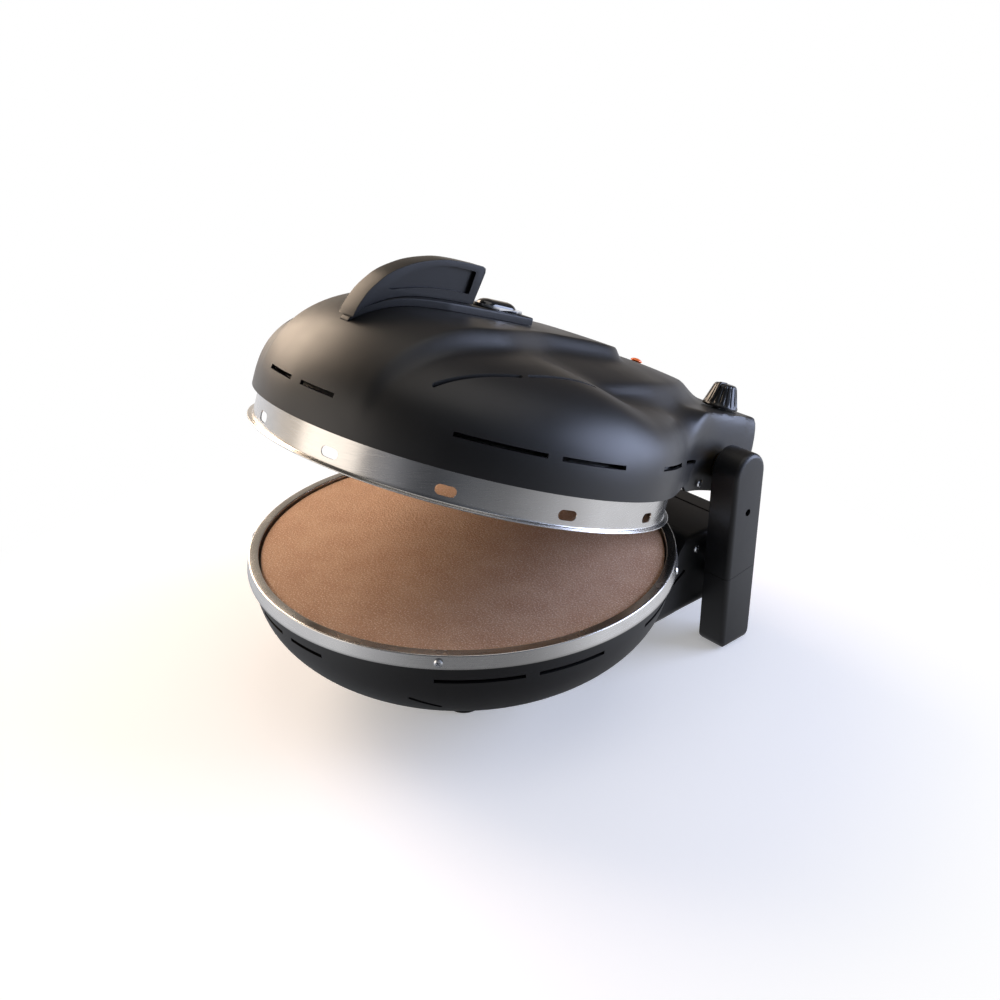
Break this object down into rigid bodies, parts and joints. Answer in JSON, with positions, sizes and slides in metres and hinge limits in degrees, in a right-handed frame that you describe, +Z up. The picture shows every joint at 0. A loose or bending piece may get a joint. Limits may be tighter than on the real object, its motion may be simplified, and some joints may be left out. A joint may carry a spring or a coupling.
{
  "type": "electric pizza maker",
  "caption": "Round countertop pizza oven: stone base in a steel rim, and a black clamshell lid with a fin handle, window, lamp and knob, tipping back between two side legs.",
  "frame": {"origin": "centre of the baking stone's flat top face", "axes": "+Z up; -Y towards the cook, where the lid opens; +X to the side that carries the knob; X = 0 is the middle plane"},
  "size_m": [0.331, 0.407, 0.339],
  "materials": {
    "black_plastic": "satin moulded",
    "handle_plastic": "fine grained",
    "knob_plastic": "semi gloss",
    "satin_steel": "satin brushed",
    "bright_steel": "polished",
    "bracket_steel": "zinc plated",
    "element_sheath": "heat darkened",
    "reflector_aluminium": "rolled",
    "cordierite_stone": "rough fired",
    "ceramic": "unglazed",
    "black_rubber": "matt",
    "bush_brass": "machined",
    "lamp_orange": "clear tinted",
    "dark_glass": "polished"
  },
  "bodies": {
    "base": {"lower_shell": "black_plastic", "lower_steel_rim": "satin_steel", "pizza_stone": "cordierite_stone", "lower_reflector_pan": "reflector_aluminium", "lower_heating_element": "element_sheath", "lower_element_brackets": "bracket_steel", "lower_element_terminals": "ceramic", "neck_deck_cover": "black_plastic", "terminal_block": "ceramic", "cord_gland": "black_rubber", "left_leg": "black_plastic", "right_leg": "black_plastic", "left_leg_foot": "black_plastic", "right_leg_foot": "black_plastic", "leg_pads": "black_rubber", "leg_inner_plates": "bracket_steel", "leg_spacers": "bracket_steel", "leg_bolts": "bright_steel", "leg_cover_screws": "bright_steel", "hinge_pins": "bright_steel", "hinge_washers": "bright_steel", "front_feet": "black_rubber", "rim_screws": "bright_steel", "lower_neck_screws": "bright_steel"},
    "lid": {"lid_shell": "black_plastic", "lid_steel_ring": "satin_steel", "lid_reflector": "reflector_aluminium", "upper_heating_element": "element_sheath", "upper_element_brackets": "bracket_steel", "upper_element_terminals": "ceramic", "lid_neck_cover": "black_plastic", "lid_hinge_brackets": "bracket_steel", "hinge_bushes": "bush_brass", "lid_neck_screws": "bright_steel", "handle_fin": "handle_plastic", "handle_frame": "handle_plastic", "window_seal": "bright_steel", "window_glass": "dark_glass", "lamp_lens": "lamp_orange", "lamp_holder": "ceramic", "thermostat": "bracket_steel", "thermostat_nut": "bright_steel"},
    "knob": {"control_knob": "knob_plastic", "thermostat_shaft": "bright_steel"}
  },
  "joints": [
    {"name": "lid_hinge", "type": "hinge", "parent": "base", "child": "lid", "pos_m": [0, 0.187, 0.0415], "axis": [-1, 0, 0], "range_deg": [-19.6, 65.4]},
    {"name": "knob_turn", "type": "hinge", "parent": "lid", "child": "knob", "pos_m": [0.069, 0.21613, 0.07412], "axis": [0, 0.3355, 0.9421], "range_deg": [-270, 0]}
  ]
}
